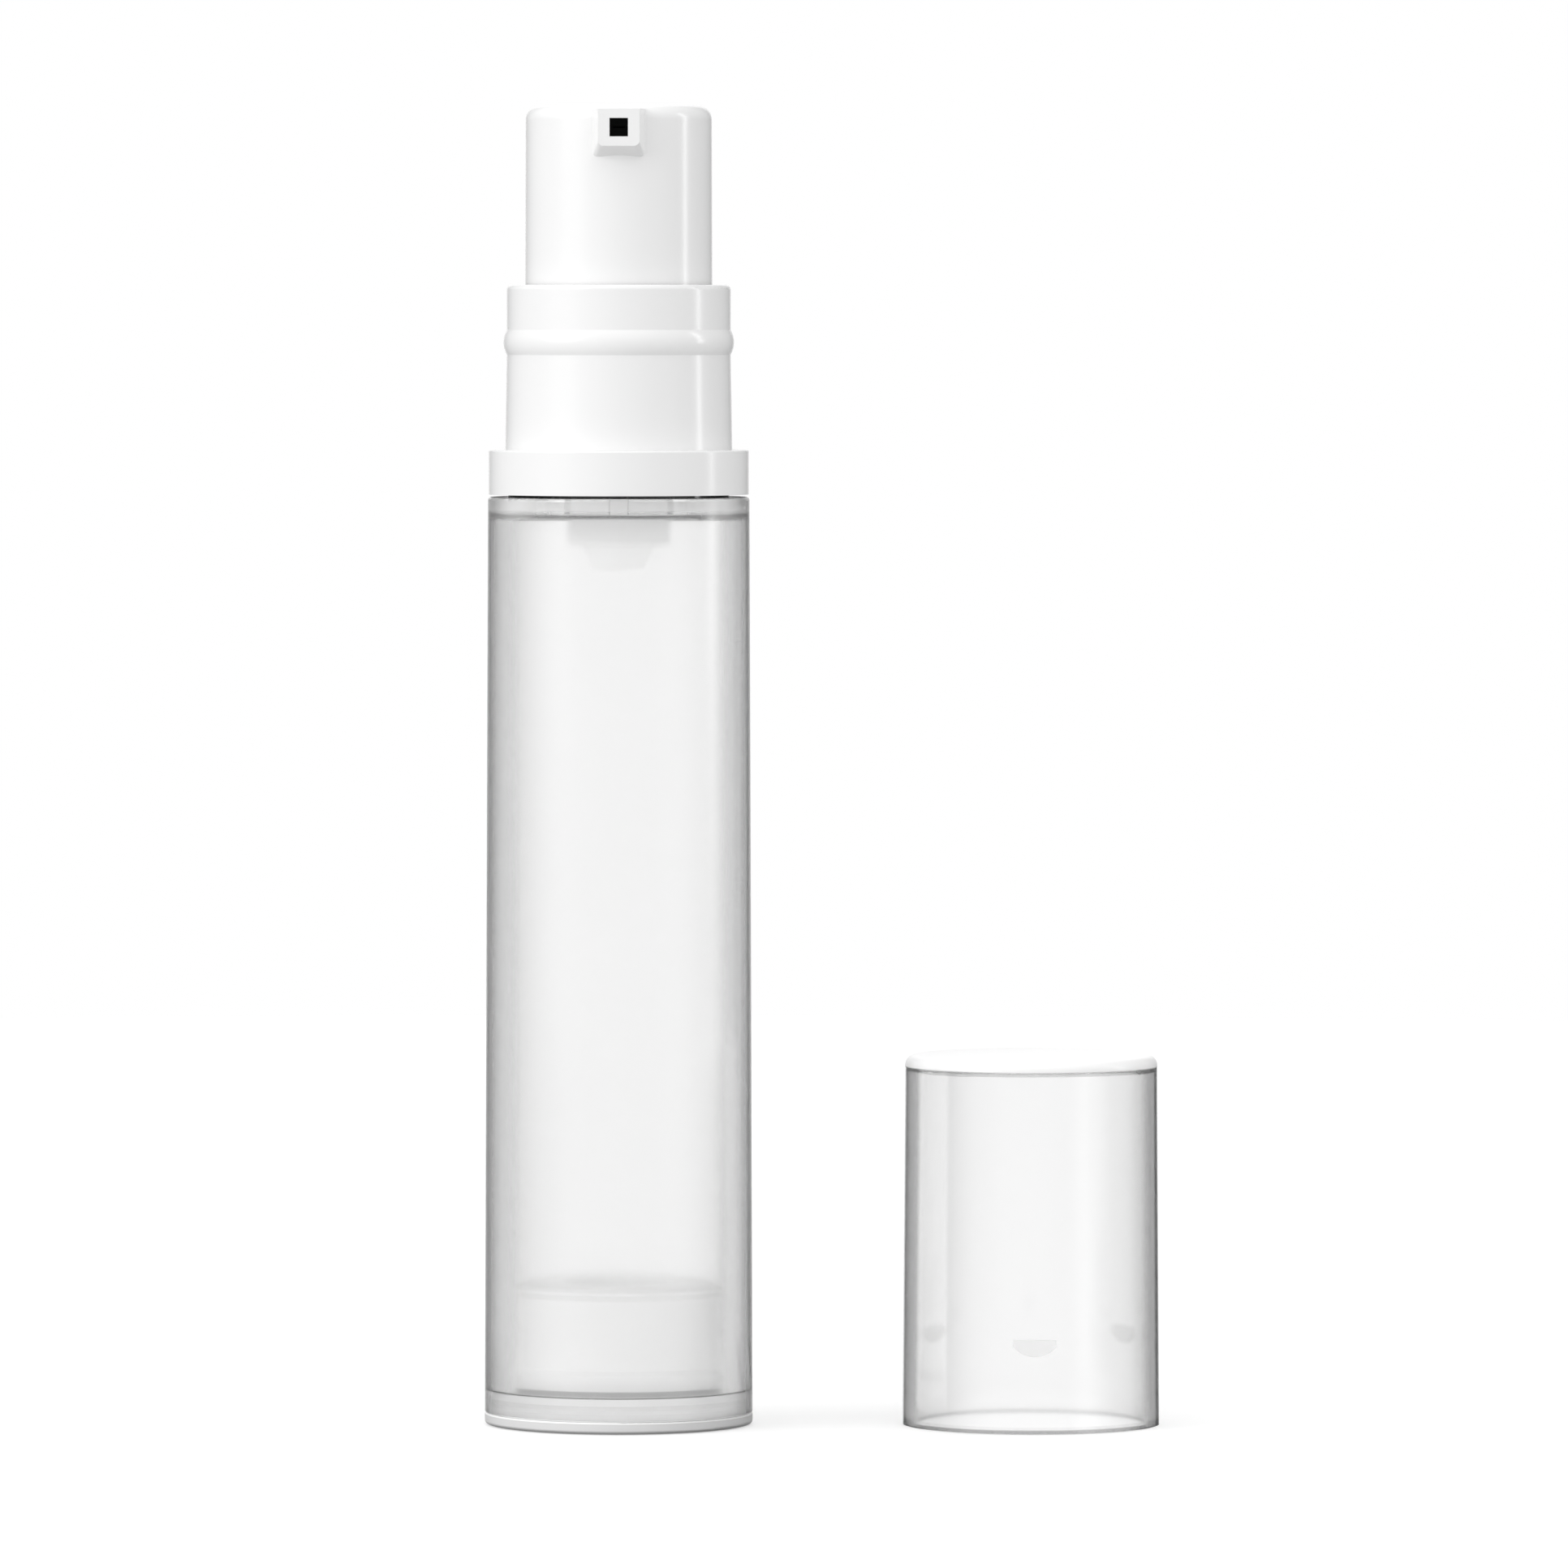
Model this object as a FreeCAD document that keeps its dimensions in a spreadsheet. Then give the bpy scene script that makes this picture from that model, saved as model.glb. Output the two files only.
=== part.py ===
# Airless pump bottle: a frosted tube with a follower piston and a snap-in base, a collar with a snap
# bead, a pump, a press head with a square outlet, and a pull-off overcap standing beside the bottle.
# Millimetres, +Z up, origin on the table under the bottle's axis, outlet towards -Y.
import FreeCAD
import Part
import Sketcher
import math
import os
from types import SimpleNamespace

Vector = FreeCAD.Vector

# Driving dimensions, in millimetres (counts and turns are plain numbers)
SIZES = {
    # tube
    "body_diameter": 22.5,
    "body_taper": 0.6,
    "shoulder_height": 77.77,
    "body_wall": 2.2,
    "shoulder_edge": 0.3,
    "rim_wall": 0.75,
    "groove_width": 0.95,
    "groove_depth": 1.32,
    "rib_width": 1.55,
    "rib_count": 12,
    "rib_drop": 0.05,
    "key_width": 1.52,
    "key_height": 1.47,
    "key_stand": 0.05,
    "key_rise": 0.08,
    "ceiling_drop": 0.1,
    "ceiling_edge": 0.5,
    "neck_wall": 1.85,
    "neck_height": 1.73,
    "neck_bead": 0.2,
    "neck_bead_land": 0.3,
    "neck_lead": 0.45,
    "seam_wall": 0.35,
    "socket_taper": 0.45,
    "flare_width": 0.6,
    "flare_height": 4.8,
    "seam_edge": 0.12,
    # base
    "base_flange": 1.0,
    "base_edge": 0.35,
    "base_recess": 0.5,
    "base_floor": 1.0,
    "foot_width": 1.5,
    "plug_height": 1.9,
    "plug_wall": 1.1,
    "seat_rise": 0.5,
    "seat_width": 1.2,
    "seat_inset": 0.15,
    "plug_bead": 0.15,
    "plug_bead_half": 0.3,
    "vent_diameter": 1.5,
    # follower piston
    "follower_height": 8.5,
    "follower_wall": 0.9,
    "follower_waist": 0.28,
    "follower_lip": 1.2,
    "follower_rim": 0.5,
    "follower_ramp": 0.5,
    "follower_edge": 0.3,
    "recess_clearance": 0.3,
    # shared fits
    "fit_clearance": 0.05,
    "seal_clearance": 0.05,
    "snap_clearance": 0.08,
    "guide_clearance": 0.08,
    # pump housing, gasket and inlet valve
    "gasket_thickness": 0.6,
    "gasket_inset": 0.25,
    "flange_thickness": 1.1,
    "flange_clearance": 0.3,
    "chamber_diameter": 6.6,
    "chamber_wall": 1.0,
    "tower_step": 0.7,
    "tower_rise": 6.8,
    "dead_space": 1.4,
    "retainer_thickness": 0.8,
    "retainer_hole": 1.0,
    "retainer_hole_circle": 3.0,
    "retainer_hole_count": 3,
    "ball_diameter": 2.4,
    "ball_gap": 0.05,
    "ball_room": 1.9,
    "cavity_clearance": 0.6,
    "inlet_diameter": 1.8,
    "inlet_length": 0.8,
    "inlet_nose_diameter": 4.2,
    "inlet_root_diameter": 5.9,
    "inlet_shoulder": 1.7,
    # dosing piston, poppet and stem
    "stroke": 5.5,
    "lost_motion": 0.6,
    "piston_height": 3.4,
    "piston_inset": 0.6,
    "piston_lip": 0.65,
    "piston_land": 0.6,
    "piston_relief": 0.35,
    "stem_diameter": 4.5,
    "stem_bore": 2.0,
    "stem_neck_diameter": 3.0,
    "stem_grip": 5.0,
    "port_gap": 0.5,
    "poppet_diameter": 4.8,
    "poppet_tip_diameter": 3.2,
    "poppet_height": 1.0,
    "poppet_rim": 0.5,
    "shank_length": 3.5,
    "shank_clearance": 0.02,
    "flute_width": 0.5,
    "flute_depth": 0.45,
    "flute_count": 3,
    # turret and stem seal
    "turret_wall": 1.0,
    "turret_skirt": 2.5,
    "turret_top": 1.2,
    "stop_depth": 1.2,
    "stop_wall": 0.65,
    "guide_rise": 1.8,
    "guide_wall": 1.5,
    "seal_height": 0.9,
    "seal_width": 0.6,
    # return spring
    "wire_diameter": 0.7,
    "coil_diameter": 9.8,
    "coil_turns": 6,
    # collar and sleeve
    "collar_step": 0.05,
    "collar_gap": 0.2,
    "collar_edge": 0.15,
    "ledge_web": 0.5,
    "partition": 1.4,
    "snap_land": 0.3,
    "snap_ramp": 0.17,
    "sleeve_wall": 1.33,
    "sleeve_flare": 0.14,
    "sleeve_height": 13.8,
    "sleeve_edge": 0.4,
    "bead_rise": 7.95,
    "bead_height": 2.1,
    "bead_bulge": 0.28,
    # press head
    "head_diameter": 15.7,
    "head_draft": 0.06,
    "head_clearance": 0.2,
    "head_rise": 15.0,
    "head_wall": 1.0,
    "head_top": 0.8,
    "head_edge": 1.2,
    "dish_diameter": 11.0,
    "dish_depth": 0.3,
    "travel_clearance": 1.2,
    "nozzle_reach": 1.25,
    "nozzle_drop": 0.4,
    "nozzle_tip_width": 3.45,
    "nozzle_tip_height": 3.1,
    "nozzle_root_width": 4.6,
    "nozzle_root_height": 4.35,
    "nozzle_sink": 0.85,
    "nozzle_round": 0.45,
    "outlet_side": 1.53,
    "valve_recess": 0.1,
    "valve_length": 1.9,
    "slit_height": 0.12,
    "slit_margin": 0.2,
    # spout core inside the head
    "socket_clearance": 0.5,
    "socket_wall": 1.0,
    "core_flange": 1.0,
    "core_gap": 0.1,
    "chimney_wall": 1.8,
    "chimney_roof": 0.5,
    "arm_width": 3.2,
    "arm_height": 2.5,
    "channel_diameter": 1.2,
    # overcap
    "cap_offset": 34.6,
    "cap_clearance": 0.06,
    "cap_wall": 1.09,
    "cap_draft": 0.23,
    "cap_inner_draft": 0.15,
    "cap_headroom": 1.3,
    "cap_top": 0.9,
    "cap_edge": 0.9,
    "cap_lead": 0.1,
    "cap_lead_height": 0.5,
    "bump_bite": 0.16,
    "bump_width": 4.2,
    "bump_height": 1.4,
    "bump_gap": 0.15,
    "bump_count": 3,
}

doc = FreeCAD.newDocument("AirlessPumpBottle")
sheet = doc.addObject("Spreadsheet::Sheet", "Sizes")
for row, (alias, number) in enumerate(SIZES.items(), start=1):
    sheet.set(f"A{row}", alias)
    sheet.set(f"B{row}", str(number))
    sheet.setAlias(f"B{row}", alias)
doc.recompute()


class Size:
    # A length in millimetres, with the sheet formula that gives it.
    def __init__(self, value, formula):
        self.value = value
        self.formula = formula

    def __add__(self, other):
        return joined(self, "+", other)

    def __radd__(self, other):
        return joined(other, "+", self)

    def __sub__(self, other):
        return joined(self, "-", other)

    def __rsub__(self, other):
        return joined(other, "-", self)

    def __mul__(self, other):
        return joined(self, "*", other)

    def __rmul__(self, other):
        return joined(other, "*", self)

    def __truediv__(self, other):
        return joined(self, "/", other)


def as_size(number):
    return number if isinstance(number, Size) else Size(float(number), repr(float(number)))


def joined(left, sign, right):
    left, right = as_size(left), as_size(right)
    values = {
        "+": left.value + right.value,
        "-": left.value - right.value,
        "*": left.value * right.value,
        "/": left.value / right.value if right.value else 0.0,
    }
    return Size(values[sign], f"({left.formula} {sign} {right.formula})")


s = SimpleNamespace(**{alias: Size(float(sheet.get(alias)), f"Sizes.{alias}") for alias in SIZES})
on_axis = Size(0.0, "0")
sub_parts = []


# Drawing and feature helpers


def origin_feature(body, role):
    return next(f for f in body.Origin.OriginFeatures if f.Role == role)


def new_body(label):
    body = doc.addObject("PartDesign::Body", label)
    sub_parts.append(body)
    return body


def new_sketch(body, name, plane, offset=None):
    # A sketch on one of the body's planes, moved along its normal: XZ sketches look towards -Y.
    sketch = body.newObject("Sketcher::SketchObject", name)
    sketch.AttachmentSupport = [(origin_feature(body, plane), "")]
    sketch.MapMode = "FlatFace"
    if offset is not None:
        sketch.AttachmentOffset = FreeCAD.Placement(Vector(0, 0, offset.value), FreeCAD.Rotation())
        sketch.setExpression("AttachmentOffset.Base.z", offset.formula)
    return sketch


def bind(sketch, name, size, kind, *places):
    # A named constraint of a sketch, driven by the sheet.
    index = sketch.addConstraint(Sketcher.Constraint(kind, *places, size.value))
    sketch.renameConstraint(index, name)
    sketch.setExpression(f"Constraints.{name}", size.formula)


def pin_corner(sketch, number, line, end, x, y):
    # Ties one end of a line or arc to its place, measured from the sketch's origin.
    if x is on_axis:
        sketch.addConstraint(Sketcher.Constraint("PointOnObject", line, end, -2))
    else:
        bind(sketch, f"across_{number}", x, "DistanceX", -1, 1, line, end)
    if y is on_axis:
        sketch.addConstraint(Sketcher.Constraint("PointOnObject", line, end, -1))
    else:
        bind(sketch, f"up_{number}", y, "DistanceY", -1, 1, line, end)


def arc_between(start, end, radius, side):
    # The shorter arc from start to end; side 1 bulges to the right of the way it goes, -1 to the left.
    chord = end - start
    out = Vector(chord.y, -chord.x, 0).normalize() * side
    depth = math.sqrt(radius**2 - (chord.Length / 2) ** 2)
    centre = start + chord / 2 - out * depth
    middle = centre + out * radius
    return Part.Arc(start, middle, end) if side > 0 else Part.Arc(end, middle, start)


def draw_outline(sketch, corners):
    # A closed outline of (x, y) corners; (x, y, radius, side) has an arc from the corner before.
    points = [Vector(c[0].value, c[1].value, 0) for c in corners]
    ends = []
    for number, corner in enumerate(corners):
        start, end = points[number - 1], points[number]
        if len(corner) == 2:
            line = sketch.addGeometry(Part.LineSegment(start, end), False)
            ends.append((line, 1, 2))
        else:
            line = sketch.addGeometry(arc_between(start, end, corner[2].value, corner[3]), False)
            forward = sketch.Geometry[line].StartPoint.distanceToPoint(start) < 1e-6
            ends.append((line, 1, 2) if forward else (line, 2, 1))
    for number, (line, _, last) in enumerate(ends):
        following, first, _ = ends[(number + 1) % len(ends)]
        sketch.addConstraint(Sketcher.Constraint("Coincident", line, last, following, first))
    for number, corner in enumerate(corners):
        pin_corner(sketch, number, ends[number][0], ends[number][2], corner[0], corner[1])
        if len(corner) > 2:
            bind(sketch, f"arc_{number}", corner[2], "Radius", ends[number][0])


def draw_rectangle(sketch, width, low, high):
    # A rectangle centred across the sketch's upright axis, from low to high.
    half = width / 2
    draw_outline(sketch, [(-1 * half, low), (half, low), (half, high), (-1 * half, high)])


def draw_circle(sketch, radius, x, y):
    line = sketch.addGeometry(Part.Circle(Vector(x.value, y.value, 0), Vector(0, 0, 1), radius.value), False)
    bind(sketch, "round", radius, "Radius", line)
    pin_corner(sketch, 0, line, 3, x, y)


def add_feature(body, kind, name, sketch, length=None, reverse=False):
    feature = body.newObject(f"PartDesign::{kind}", name)
    feature.Profile = sketch
    if length is not None:
        feature.Length = length.value
        feature.setExpression("Length", length.formula)
        feature.Reversed = reverse
    body.Tip = feature
    doc.recompute()
    return feature


def add_copies(body, name, feature, count):
    # Copies of a feature spaced evenly round the upright axis.
    pattern = body.newObject("PartDesign::PolarPattern", name)
    pattern.Originals = [feature]
    pattern.Axis = (origin_feature(body, "Z_Axis"), [""])
    pattern.Angle = 360
    pattern.Occurrences = int(count.value)
    pattern.setExpression("Occurrences", count.formula)
    body.Tip = pattern
    doc.recompute()


def revolved_body(label, corners):
    # A body turned round the upright axis from a half section of (radius, height) corners.
    body = new_body(label)
    sketch = new_sketch(body, f"{label}_section", "XZ_Plane")
    draw_outline(sketch, corners)
    turn = add_feature(body, "Revolution", f"{label}_turn", sketch)
    turn.ReferenceAxis = (sketch, ["V_Axis"])
    turn.Angle = 360
    doc.recompute()
    return body


def ring_edge(shape, radius, height):
    for number, edge in enumerate(shape.Edges, start=1):
        curve = edge.Curve
        if isinstance(curve, Part.Circle) and abs(curve.Axis.z) > 0.99:
            near = abs(curve.Radius - radius.value) + abs(curve.Center.z - height.value)
            if near < 1e-4:
                return f"Edge{number}"
    raise ValueError(f"no round edge of radius {radius.value} at height {height.value}")


def round_edges(body, name, radius, corners):
    # Rounds the turned edges at these (radius, height) corners of the section.
    base = body.Tip
    fillet = body.newObject("PartDesign::Fillet", name)
    fillet.Base = (base, [ring_edge(base.Shape, *corner) for corner in corners])
    fillet.Radius = radius.value
    fillet.setExpression("Radius", radius.formula)
    body.Tip = fillet
    doc.recompute()


def flat_ring(label, inner, outer, low, height):
    # A plain washer: one cylinder cut from another.
    discs = []
    for name, radius in (("outside", outer), ("inside", inner)):
        disc = doc.addObject("Part::Cylinder", f"{label}_{name}")
        disc.setExpression("Radius", radius.formula)
        disc.setExpression("Height", height.formula)
        disc.setExpression("Placement.Base.z", low.formula)
        discs.append(disc)
    ring = doc.addObject("Part::Cut", label)
    ring.Base, ring.Tool = discs
    sub_parts.append(ring)
    doc.recompute()
    return ring


# Radii and levels that several pieces share

foot_radius = s.body_diameter / 2
rim_radius = foot_radius - s.body_taper / 2
bore_radius = rim_radius - s.body_wall
groove_radius = rim_radius - s.rim_wall
neck_radius = groove_radius - s.groove_width
neck_bore = neck_radius - s.neck_wall
flare_radius = bore_radius + s.flare_width
socket_foot = foot_radius - s.seam_wall
shoulder = s.shoulder_height
groove_floor = shoulder - s.groove_depth
ceiling = groove_floor - s.ceiling_drop
neck_top = shoulder + s.neck_height
tube_foot = s.base_flange
plug_top = tube_foot + s.plug_height
follower_seat = plug_top + s.seat_rise

flange_bottom = neck_top + s.gasket_thickness
flange_top = flange_bottom + s.flange_thickness
collar_bore = neck_radius + s.neck_bead + s.fit_clearance
chamber_radius = s.chamber_diameter / 2
housing_radius = chamber_radius + s.chamber_wall
tower_radius = housing_radius + s.tower_step
tower_top = flange_top + s.tower_rise
stem_radius = s.stem_diameter / 2
stem_neck_radius = s.stem_neck_diameter / 2
stop_level = tower_top - s.stop_depth
piston_bottom = stop_level - s.piston_height
hub_bottom = piston_bottom + s.piston_inset
hub_top = stop_level - s.piston_inset
poppet_bottom = hub_bottom - s.poppet_height
stem_foot = hub_bottom + s.port_gap
stem_shoulder = hub_top + s.lost_motion
retainer_top = poppet_bottom - s.stroke - s.dead_space
chamber_floor = retainer_top - s.retainer_thickness
cavity_radius = s.ball_diameter / 2 + s.cavity_clearance
seat_top = chamber_floor - s.ball_room
inlet_radius = s.inlet_diameter / 2
seat_bottom = seat_top - (cavity_radius - inlet_radius)
inlet_bottom = seat_bottom - s.inlet_length
inlet_shoulder = chamber_floor - s.inlet_shoulder

turret_bore = tower_radius + s.fit_clearance
turret_radius = turret_bore + s.turret_wall
turret_top = tower_top + s.turret_top
guide_top = turret_top + s.guide_rise
guide_bore = stem_radius + s.guide_clearance

collar_bottom = shoulder + s.collar_gap
collar_radius = rim_radius - s.collar_step
ledge = flange_top + s.ledge_web
partition_top = flange_top + s.partition
head_radius = s.head_diameter / 2
sleeve_bore = head_radius + s.head_clearance
sleeve_radius = sleeve_bore + s.sleeve_wall
sleeve_foot_radius = sleeve_radius + s.sleeve_flare
sleeve_top = ledge + s.sleeve_height
bead_bottom = ledge + s.bead_rise
bead_top = bead_bottom + s.bead_height
bead_radius = sleeve_radius + s.bead_bulge

head_top = sleeve_top + s.head_rise
head_bottom = partition_top + s.stroke + s.travel_clearance
head_roof = head_top - s.head_top
head_bore = head_radius - s.head_wall
core_socket_bottom = guide_top + s.stroke + s.socket_clearance
stem_top = core_socket_bottom + s.stem_grip
core_flange_bottom = stem_top - s.core_flange
nozzle_tip = head_radius + s.nozzle_reach
nozzle_top = head_top - s.nozzle_drop
outlet_level = nozzle_top - s.nozzle_tip_height / 2


# The tube: thick frosted wall, ribbed shoulder groove with a key in front, snap neck, open foot


def socket_side(out, bulge, half):
    # The socket's sloping side with its snap ring, from the foot up, moved outwards by a clearance.
    middle = socket_foot - s.socket_taper / 2 + out
    lean = s.socket_taper / s.plug_height * half
    level = tube_foot + s.plug_height / 2
    return [
        (socket_foot + out, tube_foot),
        (middle + lean, level - half),
        (middle + bulge, level),
        (middle - lean, level + half),
        (socket_foot - s.socket_taper + out, plug_top),
    ]


def make_bottle_body():
    socket = socket_side(on_axis, s.plug_bead, s.plug_bead_half + s.fit_clearance)
    bead_start = neck_top - s.neck_lead - s.neck_bead_land - s.neck_bead
    bead_out = neck_radius + s.neck_bead
    body = revolved_body(
        "bottle_body",
        [
            (foot_radius, tube_foot),
            (rim_radius, shoulder),
            (groove_radius, shoulder),
            (groove_radius, groove_floor),
            (neck_radius, groove_floor),
            (neck_radius, bead_start),
            (bead_out, bead_start + s.neck_bead),
            (bead_out, bead_start + s.neck_bead + s.neck_bead_land),
            (neck_radius, neck_top),
            (neck_bore, neck_top),
            (neck_bore, ceiling),
            (bore_radius, ceiling),
            (bore_radius, plug_top + s.flare_height),
            (flare_radius, plug_top),
            *reversed(socket),
        ],
    )
    round_edges(body, "shoulder_edge", s.shoulder_edge, [(rim_radius, shoulder)])
    round_edges(body, "ceiling_edge", s.ceiling_edge, [(bore_radius, ceiling)])
    round_edges(body, "tube_seam_edge", s.seam_edge, [(foot_radius, tube_foot)])
    sketch = new_sketch(body, "rib_outline", "XY_Plane", groove_floor)
    draw_rectangle(sketch, s.rib_width, neck_radius - s.fit_clearance, groove_radius + s.fit_clearance)
    rib = add_feature(body, "Pad", "rib", sketch, s.groove_depth - s.rib_drop)
    add_copies(body, "ribs", rib, s.rib_count)
    sketch = new_sketch(body, "key_outline", "XZ_Plane", rim_radius + s.key_stand)
    key_top = shoulder + s.key_rise
    draw_rectangle(sketch, s.key_width, key_top - s.key_height, key_top)
    add_feature(body, "Pad", "key", sketch, s.key_stand + s.rim_wall + s.groove_width / 2, reverse=True)


# The base: a flush flange, a sloping snap ring that closes the tube, and a seat for the follower


def make_base_plug():
    plug_side = socket_side(-1 * s.fit_clearance, s.plug_bead, s.plug_bead_half)
    ring_inner = socket_foot - s.socket_taper - s.plug_wall
    seat_outer = bore_radius - s.seat_inset
    foot_inner = foot_radius - s.base_edge - s.foot_width
    floor_top = s.base_recess + s.base_floor
    vent = s.vent_diameter / 2
    body = revolved_body(
        "base_plug",
        [
            (foot_inner, on_axis),
            (foot_radius, on_axis),
            (foot_radius, tube_foot),
            *plug_side,
            (ring_inner, plug_top),
            (ring_inner, floor_top),
            (seat_outer, floor_top),
            (seat_outer, follower_seat),
            (seat_outer - s.seat_width, follower_seat),
            (seat_outer - s.seat_width, floor_top),
            (vent, floor_top),
            (vent, s.base_recess),
            (foot_inner - s.base_recess, s.base_recess),
        ],
    )
    round_edges(body, "base_foot_edge", s.base_edge, [(foot_radius, on_axis)])
    round_edges(body, "base_seam_edge", s.seam_edge, [(foot_radius, tube_foot)])


# The follower piston: two wiping lips, a waist, and a recess that takes the pump's inlet nose


def make_follower_piston():
    lip = bore_radius - s.seal_clearance
    waist = lip - s.follower_waist
    top = follower_seat + s.follower_height
    recess = housing_radius + s.recess_clearance
    recess_floor = top - (ceiling - inlet_bottom) - s.recess_clearance
    recess_step = top - (ceiling - inlet_shoulder) - s.recess_clearance
    nose = s.inlet_root_diameter / 2 + s.recess_clearance
    skirt = waist - s.follower_wall
    under_top = top - s.follower_wall
    revolved_body(
        "follower_piston",
        [
            (lip, follower_seat),
            (lip, follower_seat + s.follower_lip),
            (waist, follower_seat + s.follower_lip + s.follower_ramp),
            (waist, top - s.follower_rim - s.follower_ramp),
            (lip, top - s.follower_rim),
            (lip, top - s.follower_edge),
            (lip - s.follower_edge, top),
            (recess, top),
            (recess, recess_step),
            (nose, recess_step),
            (nose, recess_floor),
            (on_axis, recess_floor),
            (on_axis, recess_floor - s.follower_wall),
            (nose + s.follower_wall, recess_floor - s.follower_wall),
            (nose + s.follower_wall, recess_step - s.follower_wall),
            (recess + s.follower_wall, recess_step - s.follower_wall),
            (recess + s.follower_wall, under_top),
            (skirt, under_top),
            (skirt, follower_seat),
        ],
    )


# The pump housing hangs from the neck by its flange, with the dosing chamber and the inlet seat


def make_pump_housing():
    body = revolved_body(
        "pump_housing",
        [
            (s.inlet_nose_diameter / 2, inlet_bottom),
            (s.inlet_root_diameter / 2, inlet_shoulder),
            (housing_radius, inlet_shoulder),
            (housing_radius, flange_bottom),
            (collar_bore - s.flange_clearance, flange_bottom),
            (collar_bore - s.flange_clearance, flange_top),
            (tower_radius, flange_top),
            (tower_radius, tower_top),
            (chamber_radius, tower_top),
            (chamber_radius, chamber_floor),
            (cavity_radius, chamber_floor),
            (cavity_radius, seat_top),
            (inlet_radius, seat_bottom),
            (inlet_radius, inlet_bottom),
        ],
    )
    round_edges(body, "inlet_shoulder_edge", s.ceiling_edge, [(housing_radius, inlet_shoulder)])


def make_neck_gasket():
    inner = neck_bore + s.gasket_inset
    outer = neck_radius - s.gasket_inset
    flat_ring("neck_gasket", inner, outer, neck_top, s.gasket_thickness)


def make_ball_retainer():
    body = revolved_body(
        "ball_retainer",
        [
            (chamber_radius - s.fit_clearance, chamber_floor),
            (chamber_radius - s.fit_clearance, retainer_top),
            (on_axis, retainer_top),
            (on_axis, chamber_floor),
        ],
    )
    sketch = new_sketch(body, "flow_hole_outline", "XY_Plane", retainer_top)
    draw_circle(sketch, s.retainer_hole / 2, on_axis, s.retainer_hole_circle / 2)
    hole = add_feature(body, "Pocket", "flow_hole", sketch, s.retainer_thickness)
    add_copies(body, "flow_holes", hole, s.retainer_hole_count)


def make_inlet_ball():
    # The ball rests on the 45 degree seat, so its centre is root two radii above the cone's point.
    cone_point = seat_bottom - inlet_radius
    ball = doc.addObject("Part::Sphere", "inlet_ball")
    ball.setExpression("Radius", (s.ball_diameter / 2).formula)
    centre = cone_point + s.ball_diameter / 2 * math.sqrt(2) + s.ball_gap
    ball.setExpression("Placement.Base.z", centre.formula)
    sub_parts.append(ball)
    doc.recompute()


# The dosing piston slides on the stem's neck, between the stem's shoulder and the poppet


def make_dosing_piston():
    lip = chamber_radius - s.seal_clearance
    skirt = lip - s.piston_lip
    waist = lip - s.piston_relief
    hub_bore = stem_neck_radius + s.fit_clearance
    revolved_body(
        "dosing_piston",
        [
            (skirt, piston_bottom),
            (lip, piston_bottom),
            (lip, piston_bottom + s.piston_land),
            (waist, piston_bottom + s.piston_land + s.piston_relief),
            (waist, stop_level - s.piston_land - s.piston_relief),
            (lip, stop_level - s.piston_land),
            (lip, stop_level),
            (skirt, stop_level),
            (skirt, hub_top),
            (hub_bore, hub_top),
            (hub_bore, hub_bottom),
            (skirt, hub_bottom),
        ],
    )


def make_poppet():
    shank = s.stem_bore / 2 - s.shank_clearance
    body = revolved_body(
        "poppet",
        [
            (s.poppet_tip_diameter / 2, poppet_bottom),
            (s.poppet_diameter / 2, poppet_bottom + s.poppet_rim),
            (s.poppet_diameter / 2, hub_bottom),
            (shank, hub_bottom),
            (shank, hub_bottom + s.shank_length),
            (on_axis, hub_bottom + s.shank_length),
            (on_axis, poppet_bottom),
        ],
    )
    sketch = new_sketch(body, "flute_outline", "XY_Plane", hub_bottom)
    draw_rectangle(sketch, s.flute_width, shank - s.flute_depth, stem_neck_radius)
    flute = add_feature(body, "Pocket", "flute", sketch, s.shank_length, reverse=True)
    add_copies(body, "flutes", flute, s.flute_count)


def make_stem():
    revolved_body(
        "stem",
        [
            (stem_neck_radius, stem_foot),
            (stem_neck_radius, stem_shoulder),
            (stem_radius, stem_shoulder),
            (stem_radius, stem_top),
            (s.stem_bore / 2, stem_top),
            (s.stem_bore / 2, stem_foot),
        ],
    )


# The turret clips over the housing's tower, stops the piston and guides the stem


def make_turret():
    stop_outer = chamber_radius - s.fit_clearance
    seal_pocket = guide_bore + s.seal_width + s.fit_clearance
    seal_floor = guide_top - s.seal_height
    revolved_body(
        "turret",
        [
            (turret_bore, tower_top - s.turret_skirt),
            (turret_radius, tower_top - s.turret_skirt),
            (turret_radius, turret_top),
            (guide_bore + s.guide_wall, turret_top),
            (guide_bore + s.guide_wall, guide_top),
            (seal_pocket, guide_top),
            (seal_pocket, seal_floor),
            (guide_bore, seal_floor),
            (guide_bore, tower_top),
            (stop_outer - s.stop_wall, tower_top),
            (stop_outer - s.stop_wall, stop_level),
            (stop_outer, stop_level),
            (stop_outer, tower_top),
            (turret_bore, tower_top),
        ],
    )


def make_stem_seal():
    inner = stem_radius + s.seal_clearance
    flat_ring("stem_seal", inner, guide_bore + s.seal_width, guide_top - s.seal_height, s.seal_height)


# The return spring stands on the turret and lifts the spout core, outside the product's way


def coil_point(angle, rise):
    radius = s.coil_diameter.value / 2
    base = turret_top.value + s.wire_diameter.value / 2
    return Vector(radius * math.cos(angle), radius * math.sin(angle), base + rise * angle)


def coil_tangent(angle, rise):
    radius = s.coil_diameter.value / 2
    return Vector(-radius * math.sin(angle), radius * math.cos(angle), rise).normalize()


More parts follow.
